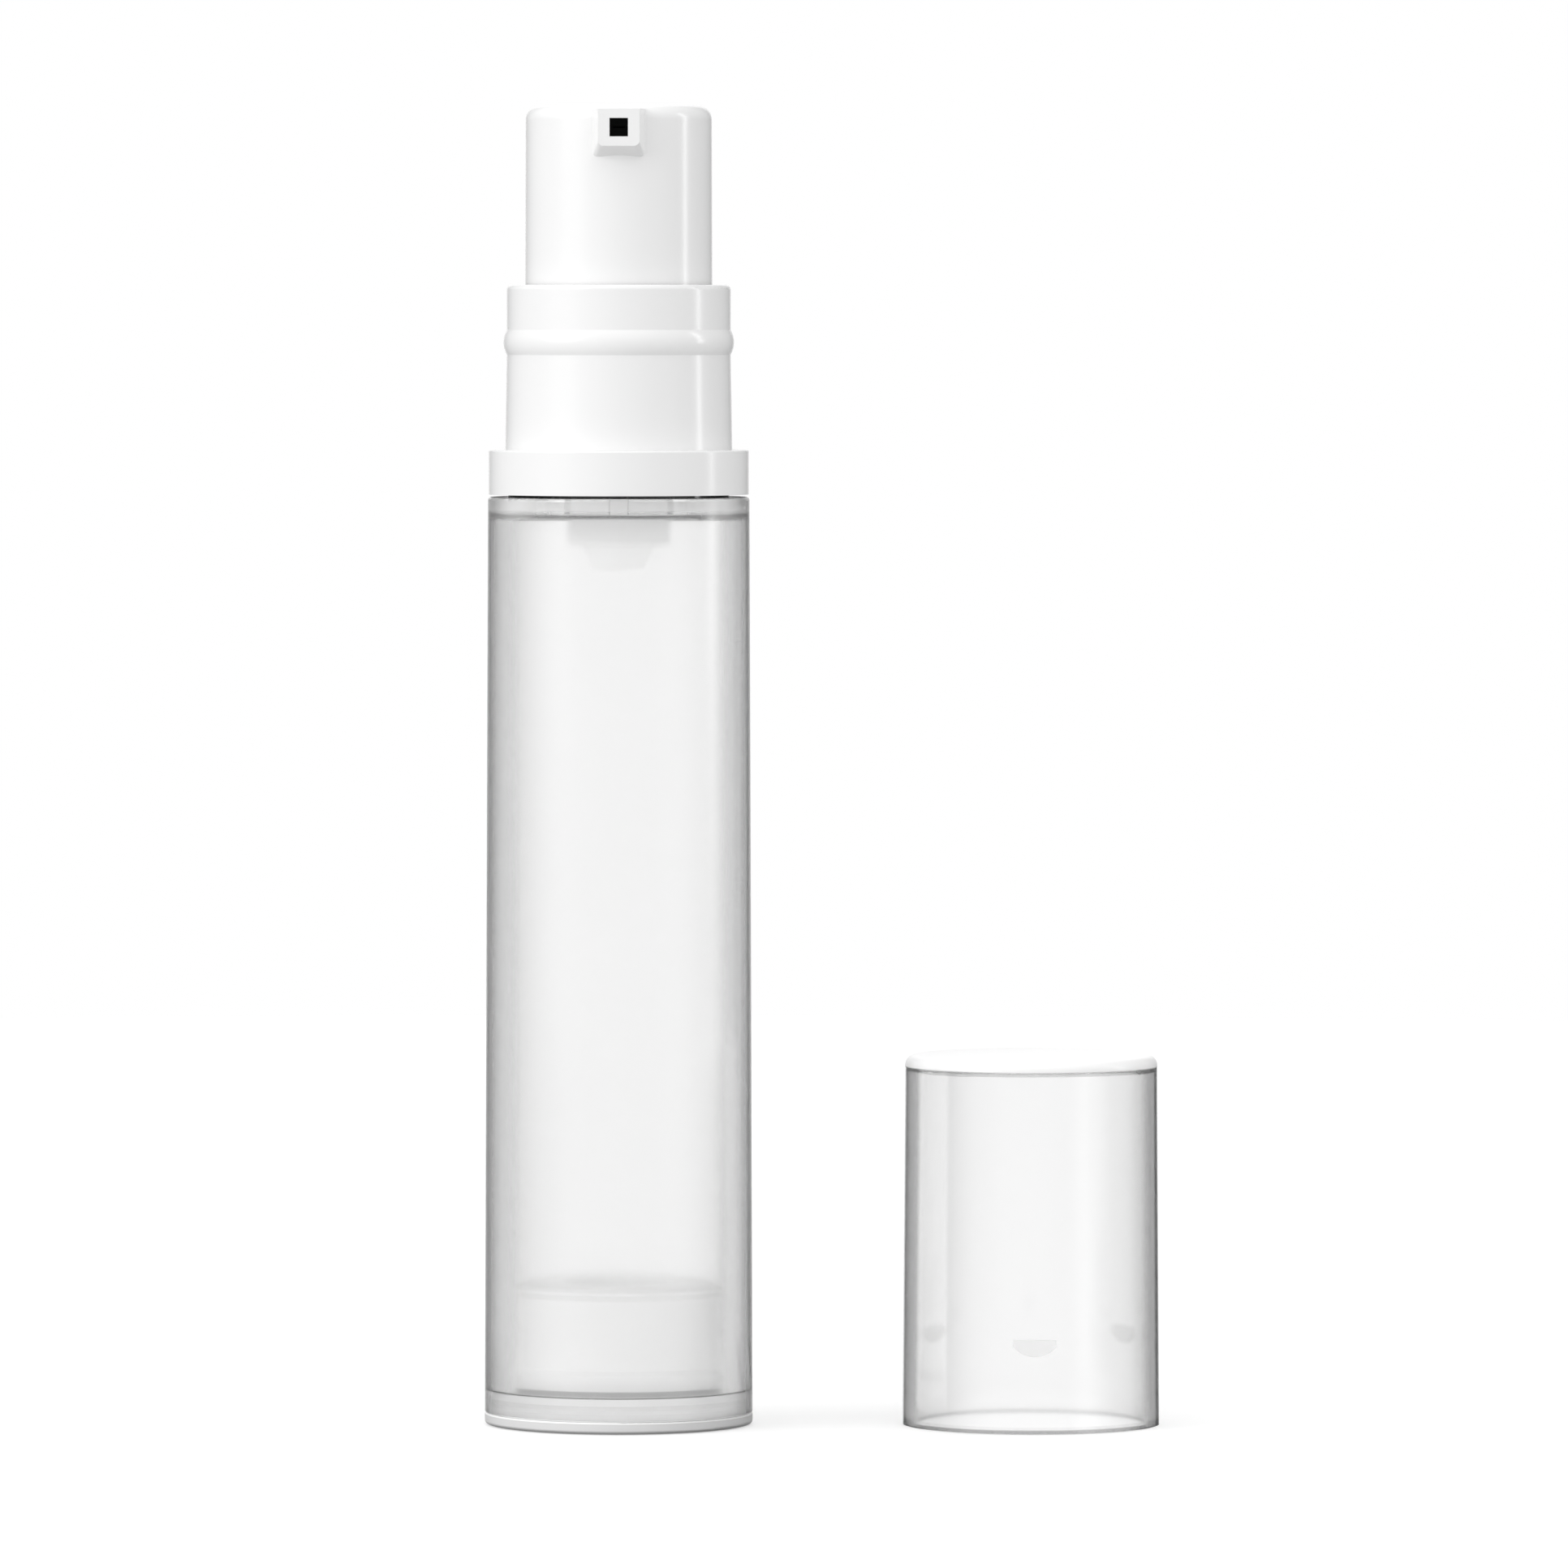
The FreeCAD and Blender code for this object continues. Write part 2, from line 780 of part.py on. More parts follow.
def arc_from(start, tangent, end):
    # The arc that leaves start along tangent and reaches end.
    chord = end - start
    lean = tangent - chord * (tangent.dot(chord) / chord.Length**2)
    angle = math.atan2(lean.Length, tangent.dot(chord) / chord.Length)
    middle = start + chord / 2 + lean.normalize() * (chord.Length / 2 * math.tan(angle / 2))
    return Part.Arc(start, middle, end).toShape()


def biarc(first, first_way, last, last_way):
    # Two arcs that join two points and keep both directions.
    span = last - first
    both = first_way + last_way
    bend = 2 * (1 - first_way.dot(last_way))
    reach = span.dot(both)
    arm = (math.sqrt(reach**2 + bend * span.dot(span)) - reach) / bend
    middle = (first + first_way * arm + last - last_way * arm) / 2
    back = arc_from(last, last_way * -1, middle)
    return [arc_from(first, first_way, middle), back]


def least_coil_gap(turns, rise):
    # The least distance between points half a turn or more apart, less the wire.
    steps = 48
    points = [coil_point(2 * math.pi * i / steps, rise) for i in range(int(turns * steps) + 1)]
    least = min(
        points[i].distanceToPoint(points[j])
        for i in range(len(points))
        for j in range(i + steps // 2, len(points))
    )
    return least - s.wire_diameter.value


def make_return_spring():
    turns = s.coil_turns.value
    wire = s.wire_diameter.value
    height = core_flange_bottom.value - turret_top.value - wire
    rise = height / (2 * math.pi * turns)
    quarter = math.pi / 2
    edges = []
    for number in range(int(round(turns * 4))):
        first, last = number * quarter, (number + 1) * quarter
        begin = coil_point(first, rise), coil_tangent(first, rise)
        finish = coil_point(last, rise), coil_tangent(last, rise)
        edges += biarc(*begin, *finish)
    path = Part.Wire(Part.__sortEdges__(edges))
    ring = Part.Wire(Part.makeCircle(wire / 2, coil_point(0, rise), coil_tangent(0, rise)))
    spring = doc.addObject("Part::Feature", "return_spring")
    spring.Shape = path.makePipeShell([ring], True, False)
    sub_parts.append(spring)
    print(f"return_spring least gap {least_coil_gap(turns, rise):.2f} mm")
    expected = math.pi * wire**2 / 4 * path.Length
    print(f"return_spring volume {spring.Shape.Volume:.1f} of {expected:.1f} mm3")


# The collar snaps over the neck, clamps the pump's flange and guides the head in its sleeve


def make_collar():
    snap = neck_radius + s.snap_clearance
    bead_arc = (s.bead_height * s.bead_height / 4 + s.bead_bulge * s.bead_bulge) / (2 * s.bead_bulge)
    snap_bottom = collar_bottom + s.snap_ramp
    body = revolved_body(
        "collar",
        [
            (collar_bore, collar_bottom),
            (collar_radius, collar_bottom),
            (collar_radius, ledge),
            (sleeve_foot_radius, ledge),
            (sleeve_radius, bead_bottom),
            (sleeve_radius, bead_top, bead_arc, 1),
            (sleeve_radius, sleeve_top),
            (sleeve_bore, sleeve_top),
            (sleeve_bore, partition_top),
            (turret_radius + s.snap_clearance, partition_top),
            (turret_radius + s.snap_clearance, flange_top),
            (collar_bore, flange_top),
            (collar_bore, snap_bottom + s.snap_land + s.snap_ramp),
            (snap, snap_bottom + s.snap_land),
            (snap, snap_bottom),
        ],
    )
    round_edges(body, "ledge_edge", s.collar_edge, [(collar_radius, ledge)])
    round_edges(body, "sleeve_edge", s.sleeve_edge, [(sleeve_radius, sleeve_top)])


# The press head: a cup with a dished top and a short tapered nozzle with a square outlet


def nozzle_sketch(body, name, reach, width, low, high):
    sketch = new_sketch(body, name, "XZ_Plane", reach)
    half = width / 2
    corner = s.nozzle_round
    draw_outline(
        sketch,
        [
            (-1 * half, low + corner),
            (corner - half, low, corner, 1),
            (half - corner, low),
            (half, low + corner, corner, 1),
            (half, high),
            (-1 * half, high),
        ],
    )
    return sketch


def make_actuator_shell():
    top_radius = head_radius - s.head_draft
    dish = s.dish_diameter / 2
    dish_arc = (dish * dish + s.dish_depth * s.dish_depth) / (2 * s.dish_depth)
    body = revolved_body(
        "actuator_shell",
        [
            (head_bore, head_bottom),
            (head_radius, head_bottom),
            (top_radius, head_top),
            (dish, head_top),
            (on_axis, head_top - s.dish_depth, dish_arc, -1),
            (on_axis, head_roof),
            (head_bore, head_roof),
        ],
    )
    round_edges(body, "head_edge", s.head_edge, [(top_radius, head_top)])
    root_plane = head_radius - s.nozzle_sink
    tip_low = nozzle_top - s.nozzle_tip_height
    root_low = nozzle_top - s.nozzle_root_height
    root = nozzle_sketch(body, "nozzle_root", root_plane, s.nozzle_root_width, root_low, nozzle_top)
    tip = nozzle_sketch(body, "nozzle_tip", nozzle_tip, s.nozzle_tip_width, tip_low, nozzle_top)
    nozzle = body.newObject("PartDesign::AdditiveLoft", "nozzle")
    nozzle.Profile = root
    nozzle.Sections = [tip]
    nozzle.Ruled = True
    body.Tip = nozzle
    doc.recompute()
    half = s.outlet_side / 2
    outlet = new_sketch(body, "outlet_outline", "XZ_Plane", nozzle_tip)
    draw_rectangle(outlet, s.outlet_side, outlet_level - half, outlet_level + half)
    before = body.Shape.Volume
    add_feature(body, "Pocket", "outlet", outlet, nozzle_tip - head_bore + s.head_wall)
    print(f"outlet takes {before - body.Shape.Volume:.2f} mm3")


def make_outlet_valve():
    side = s.outlet_side - 2 * s.fit_clearance
    face = nozzle_tip - s.valve_recess
    body = new_body("outlet_valve")
    block = new_sketch(body, "valve_outline", "XZ_Plane", face)
    draw_rectangle(block, side, outlet_level - side / 2, outlet_level + side / 2)
    add_feature(body, "Pad", "valve_block", block, s.valve_length, reverse=True)
    slit = new_sketch(body, "slit_outline", "XZ_Plane", face)
    half_slit = s.slit_height / 2
    draw_rectangle(slit, side - 2 * s.slit_margin, outlet_level - half_slit, outlet_level + half_slit)
    add_feature(body, "Pocket", "slit", slit, s.valve_length)


# The spout core sits on the stem and leads the product to the outlet


def make_spout_core():
    socket = stem_radius + s.fit_clearance
    channel = s.stem_bore / 2
    chimney = channel + s.chimney_wall
    reach = head_bore - s.core_gap
    body = revolved_body(
        "spout_core",
        [
            (socket, core_socket_bottom),
            (socket + s.socket_wall, core_socket_bottom),
            (socket + s.socket_wall, core_flange_bottom),
            (reach, core_flange_bottom),
            (reach, stem_top),
            (chimney, stem_top),
            (chimney, head_roof),
            (on_axis, head_roof),
            (on_axis, head_roof - s.chimney_roof),
            (channel, head_roof - s.chimney_roof),
            (channel, stem_top),
            (socket, stem_top),
        ],
    )
    arm = new_sketch(body, "arm_outline", "XZ_Plane", channel)
    draw_rectangle(arm, s.arm_width, head_roof - s.arm_height, head_roof)
    arm_end = reach - s.core_gap
    add_feature(body, "Pad", "arm", arm, arm_end - channel)
    hole = new_sketch(body, "channel_outline", "XZ_Plane", arm_end)
    draw_circle(hole, s.channel_diameter / 2, on_axis, outlet_level)
    add_feature(body, "Pocket", "channel", hole, arm_end)


# The overcap: a clear cup with three snap bumps that catch under the sleeve's bead


def make_overcap():
    bore = bead_radius + s.cap_clearance
    foot = bore + s.cap_wall
    height = head_top + s.cap_headroom + s.cap_top - ledge
    body = revolved_body(
        "overcap",
        [
            (bore + s.cap_lead, on_axis),
            (foot, on_axis),
            (foot - s.cap_draft, height),
            (on_axis, height),
            (on_axis, height - s.cap_top),
            (bore - s.cap_inner_draft, height - s.cap_top),
            (bore, s.cap_lead_height),
        ],
    )
    round_edges(body, "cap_edge", s.cap_edge, [(foot - s.cap_draft, height)])
    round_edges(body, "cap_inner_edge", s.ceiling_edge, [(bore - s.cap_inner_draft, height - s.cap_top)])
    bump_face = bead_radius - s.bump_bite
    bump_top = s.bead_rise - s.bump_gap
    half = s.bump_width / 2
    bump_arc = (half * half + s.bump_height * s.bump_height) / (2 * s.bump_height)
    sketch = new_sketch(body, "bump_outline", "XZ_Plane", bump_face)
    draw_outline(sketch, [(-1 * half, bump_top), (half, bump_top, bump_arc, 1)])
    bump = add_feature(body, "Pad", "bump", sketch, bore - bump_face + s.cap_wall / 2)
    add_copies(body, "bumps", bump, s.bump_count)
    body.setExpression("Placement.Base.x", s.cap_offset.formula)
    doc.recompute()


def check_document():
    for item in doc.Objects:
        faults = [state for state in item.State if state in ("Invalid", "Error")]
        if faults:
            raise RuntimeError(f"{item.Name} failed: {faults}")
    for piece in sub_parts:
        if piece.Shape.isNull() or not piece.Shape.isValid() or not piece.Shape.Solids:
            raise RuntimeError(f"{piece.Label} has no sound solid")


make_bottle_body()
make_base_plug()
make_follower_piston()
make_pump_housing()
make_neck_gasket()
make_ball_retainer()
make_inlet_ball()
make_dosing_piston()
make_poppet()
make_stem()
make_turret()
make_stem_seal()
make_return_spring()
make_collar()
make_actuator_shell()
make_outlet_valve()
make_spout_core()
make_overcap()

doc.recompute()
check_document()
os.makedirs("parts", exist_ok=True)
for piece in sub_parts:
    piece.Shape.exportStep(f"parts/{piece.Label}.step")
    print(f"{piece.Label}: {len(piece.Shape.Solids)} solid, {piece.Shape.Volume:.1f} mm3")
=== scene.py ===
# Looks for the airless pump bottle: frosted tube, white collar and press head, clear overcap beside it.
import math

import bpy
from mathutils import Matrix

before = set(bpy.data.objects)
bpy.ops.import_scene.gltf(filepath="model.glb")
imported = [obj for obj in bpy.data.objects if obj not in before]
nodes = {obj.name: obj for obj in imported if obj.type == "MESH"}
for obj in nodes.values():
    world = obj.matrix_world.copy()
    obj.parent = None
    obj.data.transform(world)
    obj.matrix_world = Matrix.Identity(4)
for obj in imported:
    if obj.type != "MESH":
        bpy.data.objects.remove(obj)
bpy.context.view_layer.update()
print("frame loaded:", len(nodes), "nodes")


class Value:
    # A node's socket that takes part in Python sums, and adds the nodes they need.
    def __init__(self, socket):
        self.socket = socket

    def node(self, kind, settings=None, inputs=None, output=0):
        tree = self.socket.id_data
        made = tree.nodes.new(kind)
        for name, setting in (settings or {}).items():
            setattr(made, name, setting)
        for name, given in (inputs or {}).items():
            if isinstance(given, Value):
                tree.links.new(given.socket, made.inputs[name])
            else:
                made.inputs[name].default_value = given
        return Value(made.outputs[output])

    def calculate(self, operation, first, second=0.0):
        return self.node("ShaderNodeMath", {"operation": operation}, {0: first, 1: second})

    def __add__(self, other):
        return self.calculate("ADD", self, other)

    def __radd__(self, other):
        return self.calculate("ADD", other, self)

    def __sub__(self, other):
        return self.calculate("SUBTRACT", self, other)

    def __rsub__(self, other):
        return self.calculate("SUBTRACT", other, self)

    def __mul__(self, other):
        return self.calculate("MULTIPLY", self, other)

    def __pow__(self, other):
        return self.calculate("POWER", self, other)

    def absolute(self):
        return self.calculate("ABSOLUTE", self)

    def orMore(self, other):
        # the larger of the two
        return self.calculate("MAXIMUM", self, other)

    def step(self, low, high):
        # 0 below low, 1 above high, smooth between them
        span = {"From Min": low, "From Max": high, "To Min": 0.0, "To Max": 1.0}
        return self.node("ShaderNodeMapRange", {"interpolation_type": "SMOOTHSTEP"}, {"Value": self, **span})

    def between(self, start, end):
        # 1 from the start's step to the end's step, 0 outside them
        return self.step(*start) * (1 - self.step(*end))

    def axis(self, name):
        return self.node("ShaderNodeSeparateXYZ", {}, {0: self}, name)

    def noise(self, scale, detail=3.0):
        return self.node("ShaderNodeTexNoise", {}, {"Vector": self, "Scale": scale, "Detail": detail})

    def mixed(self, first, second):
        # a colour between two, by this value
        mix = {"data_type": "RGBA", "clamp_factor": True}
        return self.node("ShaderNodeMix", mix, {0: self, 6: first, 7: second}, 2)

    def shades(self, dark, light):
        return self.mixed((*dark, 1), (*light, 1))


def blend(share, first, second):
    # a number between two, by the share
    return first + share * (second - first)


def newFinish(name, fixed):
    # A material, its shader, and its Object coordinates; fixed are the sockets that are the same all over.
    material = bpy.data.materials.new(name)
    material.use_nodes = True
    shader = material.node_tree.nodes["Principled BSDF"]
    for socket, number in fixed.items():
        shader.inputs[socket].default_value = number
    place = Value(material.node_tree.nodes.new("ShaderNodeTexCoord").outputs["Object"])
    return material, shader, place


def feed(shader, socket, value):
    shader.id_data.links.new(value.socket, shader.inputs[socket])


def mottle(place, finish):
    # a small change of roughness over the surface, as much below as above
    return (place.noise(finish["mottleScale"], finish["mottleDetail"]) - 0.5) * finish["mottle"]


def addGrain(shader, place, finish, detail=2.0):
    height = place.noise(finish["grainScale"], detail)
    sockets = {"Strength": finish["grainStrength"], "Distance": finish["grainDepth"], "Height": height}
    feed(shader, "Normal", place.node("ShaderNodeBump", {}, sockets))


def blendIn(material, mask, sockets):
    # a second shader over what the material shows so far, where the mask is 1
    surface = material.node_tree.nodes["Material Output"].inputs["Surface"]
    shown = Value(surface.links[0].from_socket)
    other = mask.node("ShaderNodeBsdfPrincipled", {}, sockets)
    both = mask.node("ShaderNodeMixShader", {}, {0: mask, 1: shown, 2: other})
    material.node_tree.links.new(both.socket, surface)


def radiusFrom(place, axisX):
    # distance from an upright axis, in metres
    across = place.axis("X") - axisX
    along = place.axis("Y")
    return (across * across + along * along) ** 0.5


def edgeFacing(place):
    # 0 where the surface faces the view, 1 along its edges
    return place.node("ShaderNodeLayerWeight", {}, {"Blend": 0.5}, "Facing")


def clearSockets(finish):
    return {
        "Transmission Weight": finish["transmission"],
        "IOR": finish["ior"],
        "Coat IOR": finish["coatIor"],
        "Coat Roughness": finish["coatRoughness"],
    }


def edgeShadeSockets(place, finish):
    # painted shade: a darker copy of the clear plastic for the edges of its wall, partly for the longer way
    # through the wall there
    return {
        **clearSockets(finish),
        "Base Color": place.noise(finish["cloudScale"]).shades(*finish["edgeShadeColour"]),
        "Roughness": finish["skinRoughness"],
        "Coat Weight": 1.0,
    }


def paint(material, *names):
    for name in names:
        slots = nodes[name].data.materials
        slots.clear()
        slots.append(material)


def paintPlain(finish):
    material, shader, place = newFinish(finish["name"], finish["fixed"])
    feed(shader, "Base Color", place.noise(finish["cloudScale"]).shades(*finish["colour"]))
    feed(shader, "Roughness", finish["roughness"] + mottle(place, finish))
    addGrain(shader, place, finish)
    paint(material, *finish["pieces"])


# The tube: clear plastic, frosted outside and smooth in the bore

tube = {
    "colour": ((0.985, 0.985, 0.985), (1.0, 1.0, 1.0)),
    "cloudScale": 55.0,
    "transmission": 0.98,
    "ior": 1.49,
    "boreRadius": 0.0094,
    "skinRadius": 0.0102,
    "boreRoughness": 0.1,
    "skinRoughness": 0.22,
    "mottle": 0.05,
    "mottleScale": 495.0,
    "mottleDetail": 4.0,
    "coatIor": 1.65,
    "coatRoughness": 0.3,
    # painted shade: the near-black band on the neck in the gap under the collar
    "gapFoot": (0.07772, 0.07774),
    "gapTop": (0.07805, 0.0781),
    "gapShadeColour": (0.01, 0.01, 0.01),
    # painted shade: fine dark lines beside the key, on the front skin
    "keyEdge": 0.00076,
    "keyLine": (0.00003, 0.00006),
    "keyFoot": (0.0764, 0.07644),
    "keyFront": (0.009, 0.0095),
    "keyShadeColour": (0.45, 0.45, 0.45),
    "haze": 0.06,
    "bandHaze": 0.3,
    "band": (0.0765, 0.0768),
    # painted light: extra haze on the left and right sides
    "sideLightHaze": 0.3,
    "line": (0.0759, 0.0761),
    "lineSides": (0.0055, 0.0085),
    "milkyColour": ((0.9, 0.9, 0.9), (0.94, 0.94, 0.94)),
    "milkyRoughness": 0.4,
    "seam": (0.0011, 0.00115),
    # painted shade along the wall's edges
    "edgeShadeFacing": (0.4, 0.7),
    "edgeShadeShare": 0.55,
    "edgeShadeColour": ((0.5, 0.5, 0.5), (0.54, 0.54, 0.54)),
    "socketTop": (0.00285, 0.00295),
    "socketRadius": (0.01095, 0.0111),
    "grainScale": 5200.0,
    "grainStrength": 0.12,
    "grainDepth": 0.00002,
}


def paintTube():
    material, shader, place = newFinish("frostedTube", clearSockets(tube))
    radius = radiusFrom(place, 0.0)
    height = place.axis("Z")
    aside = place.axis("X").absolute()
    skin = radius.step(tube["boreRadius"], tube["skinRadius"])
    gapShade = height.between(tube["gapFoot"], tube["gapTop"])
    bare = 1 - gapShade
    mottled = mottle(place, tube)
    # painted shade: the neck near black in the gap under the collar
    plastic = place.noise(tube["cloudScale"]).shades(*tube["colour"])
    plastic = gapShade.mixed(plastic, (*tube["gapShadeColour"], 1))
    # painted shade: a fine dark line on each side of the key, on the front skin only
    line = 1 - (aside - tube["keyEdge"]).absolute().step(*tube["keyLine"])
    line = line * skin * height.step(*tube["keyFoot"])
    line = line * (0.0 - place.axis("Y")).step(*tube["keyFront"])
    feed(shader, "Base Color", line.mixed(plastic, (*tube["keyShadeColour"], 1)))
    feed(shader, "Roughness", blend(skin, tube["boreRoughness"], tube["skinRoughness"]) + mottled)
    feed(shader, "Coat Weight", skin * bare)
    addGrain(shader, place, tube)
    # the foot's socket is milky behind the clear wall
    milkySockets = {
        "Base Color": place.noise(tube["cloudScale"]).shades(*tube["milkyColour"]),
        "Roughness": tube["milkyRoughness"] + mottled,
        "IOR": tube["ior"],
    }
    socket = (1 - height.step(*tube["socketTop"])) * (1 - radius.step(*tube["socketRadius"]))
    blendIn(material, socket, milkySockets)
    # a thin haze on the frosted skin, denser round the neck, extra haze painted on the left and right sides
    # to lighten them, and a milky seam over the foot
    haze = blend(height.step(*tube["band"]), tube["haze"], tube["bandHaze"])
    # painted light: the sides, away from the middle in X, get extra milky haze above the line, so they look
    # lighter
    haze = haze + height.step(*tube["line"]) * aside.step(*tube["lineSides"]) * tube["sideLightHaze"]
    haze = haze.orMore(1 - height.step(*tube["seam"]))
    blendIn(material, haze * skin * bare, milkySockets)
    # painted shade: a darker copy of the plastic along the wall's edges, partly for the longer way through
    # the thick wall there
    edgeShade = edgeFacing(place).step(*tube["edgeShadeFacing"]) * skin * bare
    blendIn(material, edgeShade * tube["edgeShadeShare"], edgeShadeSockets(place, tube))
    paint(material, "bottle_body")


paintTube()
print("tube done")


# The overcap: clear plastic with a slight milk to it

cap = {
    "colour": ((0.975, 0.975, 0.975), (0.99, 0.99, 0.99)),
    "cloudScale": 60.0,
    "transmission": 0.98,
    "ior": 1.49,
    "boreRoughness": 0.08,
    "skinRoughness": 0.12,
    "mottle": 0.02,
    "mottleScale": 540.0,
    "mottleDetail": 4.0,
    "coatIor": 2.4,
    "coatRoughness": 0.12,
    "axis": 0.0346,
    "wallRadius": (0.0098, 0.0102),
    # painted shade along the wall's edges
    "edgeShadeFacing": (0.47, 0.65),
    "edgeShadeColour": ((0.54, 0.54, 0.54), (0.58, 0.58, 0.58)),
    "topEdge": (0.02995, 0.03015),
    "topColour": ((0.9, 0.9, 0.9), (0.92, 0.92, 0.92)),
    "topRoughness": 0.3,
    "bumpRadius": (0.00964, 0.00967),
    "bumpFoot": (0.006, 0.0061),
    "bumpTop": (0.0081, 0.0082),
    "bumpMilk": 0.42,
    # painted shade at the foot, where it meets the floor
    "foot": (0.00025, 0.0004),
    "footShadeColour": (0.2, 0.2, 0.2),
    "grainScale": 900.0,
    "grainStrength": 0.04,
    "grainDepth": 0.00002,
}


def paintCap():
    material, shader, place = newFinish("clearCap", clearSockets(cap))
    radius = radiusFrom(place, cap["axis"])
    height = place.axis("Z")
    skin = radius.step(*cap["wallRadius"])
    mottled = mottle(place, cap)
    # painted shade: a dark line along the foot of the outer skin, where it meets the floor
    plastic = place.noise(cap["cloudScale"]).shades(*cap["colour"])
    foot = skin - skin * height.step(*cap["foot"])
    feed(shader, "Base Color", foot.mixed(plastic, (*cap["footShadeColour"], 1)))
    feed(shader, "Roughness", blend(skin, cap["boreRoughness"], cap["skinRoughness"]) + mottled)
    feed(shader, "Coat Weight", skin)
    addGrain(shader, place, cap)
    # painted shade: a darker copy of the plastic along the wall's edges
    blendIn(material, edgeFacing(place).step(*cap["edgeShadeFacing"]) * skin, edgeShadeSockets(place, cap))
    # the flat top is milky, and so are the snap bumps
    milkySockets = {
        "Base Color": place.noise(cap["cloudScale"]).shades(*cap["topColour"]),
        "Roughness": cap["topRoughness"] + mottled,
        "IOR": cap["ior"],
    }
    bump = height.between(cap["bumpFoot"], cap["bumpTop"])
    bump = bump * (1 - radius.step(*cap["bumpRadius"])) * cap["bumpMilk"]
    blendIn(material, bump.orMore(height.step(*cap["topEdge"])), milkySockets)
    paint(material, "overcap")


paintCap()
print("overcap done")


# Collar and press head: white moulded plastic, semi-gloss

white = {
    "name": "whitePlastic",
    "pieces": ("collar", "actuator_shell"),
    "fixed": {"IOR": 1.49},
    "colour": ((0.845, 0.845, 0.845), (0.87, 0.87, 0.87)),
    "cloudScale": 70.0,
    "roughness": 0.2,
    "mottle": 0.04,
    "mottleScale": 630.0,
    "mottleDetail": 4.0,
    "grainScale": 2600.0,
    "grainStrength": 0.05,
    "grainDepth": 0.00002,
}

paintPlain(white)
print("collar and head done")


# The pieces inside: milky moulded plastic, soft seals, steel, and the outlet valve near black as painted
# shade inside the outlet

milky = {
    "name": "milkyPlastic",
    "pieces": (
        "follower_piston",
        "pump_housing",
        "ball_retainer",
        "poppet",
        "stem",
        "turret",
        "spout_core",
    ),
    "fixed": {"IOR": 1.49},
    "colour": ((0.94, 0.94, 0.94), (0.97, 0.97, 0.97)),
    "cloudScale": 90.0,
    "roughness": 0.42,
    "mottle": 0.08,
    "mottleScale": 810.0,
    "mottleDetail": 4.0,
    "grainScale": 1800.0,
    "grainStrength": 0.05,
    "grainDepth": 0.00002,
}
seal = {
    "name": "softSeal",
    "pieces": ("neck_gasket", "dosing_piston", "stem_seal"),
    "fixed": {"IOR": 1.45},
    "colour": ((0.72, 0.73, 0.74), (0.8, 0.81, 0.82)),
    "cloudScale": 400.0,
    "roughness": 0.65,
    "mottle": 0.1,
    "mottleScale": 900.0,
    "mottleDetail": 3.0,
    "grainScale": 2400.0,
    "grainStrength": 0.08,
    "grainDepth": 0.00002,
}
# painted shade: the outlet valve is near black with almost no gloss, as the shade inside the outlet
outlet = {
    "name": "outletShadeBlack",
    "pieces": ("outlet_valve",),
    "fixed": {"IOR": 1.45, "Specular IOR Level": 0.03},
    "colour": ((0.001, 0.001, 0.001), (0.003, 0.003, 0.003)),
    "cloudScale": 1500.0,
    "roughness": 0.75,
    "mottle": 0.1,
    "mottleScale": 2500.0,
    "mottleDetail": 3.0,
    "grainScale": 5000.0,
    "grainStrength": 0.1,
    "grainDepth": 0.00002,
}
steel = {
    "name": "springSteel",
    "pieces": ("return_spring", "inlet_ball"),
    "fixed": {"Metallic": 1.0},
    "colour": ((0.5, 0.5, 0.52), (0.66, 0.66, 0.67)),
    "cloudScale": 300.0,
    "roughness": 0.31,
    "mottle": 0.12,
    "mottleScale": 700.0,
    "mottleDetail": 5.0,
    "grainScale": 2800.0,
    "grainStrength": 0.06,
    "grainDepth": 0.00002,
}

for finish in (milky, seal, outlet, steel):
    paintPlain(finish)
print("inside pieces done")


# The base: milky disc with a greyer flange, a dark foot as painted shade where it meets the floor, and a
# dark ring as painted shade under the follower's seat

base = {
    "colour": ((0.94, 0.94, 0.94), (0.97, 0.97, 0.97)),
    "cloudScale": 90.0,
    "ior": 1.49,
    # painted shade under the follower
    "seat": (0.00292, 0.00298),
    "seatShadeColour": (0.5, 0.5, 0.5),
    "flange": (0.00083, 0.0009),
    "flangeColour": (0.72, 0.72, 0.72),
    # painted shade at the foot, where it meets the floor
    "foot": (0.0001, 0.00035),
    "footShadeColour": (0.38, 0.38, 0.38),
    "roughness": 0.35,
    "mottle": 0.1,
    "mottleScale": 900.0,
    "mottleDetail": 3.0,
    "grainScale": 1800.0,
    "grainStrength": 0.05,
    "grainDepth": 0.00002,
}


def paintBase():
    material, shader, place = newFinish("basePlastic", {"IOR": base["ior"]})
    height = place.axis("Z")
    plastic = place.noise(base["cloudScale"]).shades(*base["colour"])
    # painted shade: the flange darkens to the foot, where it meets the floor
    flange = height.step(*base["foot"]).shades(base["footShadeColour"], base["flangeColour"])
    # painted shade: dark above the follower's seat, under the follower
    ring = height.step(*base["seat"]).mixed(plastic, (*base["seatShadeColour"], 1))
    feed(shader, "Base Color", height.step(*base["flange"]).mixed(flange, ring))
    feed(shader, "Roughness", base["roughness"] + mottle(place, base))
    addGrain(shader, place, base)
    paint(material, "base_plug")


paintBase()
print("base done")


# Floor, light and camera

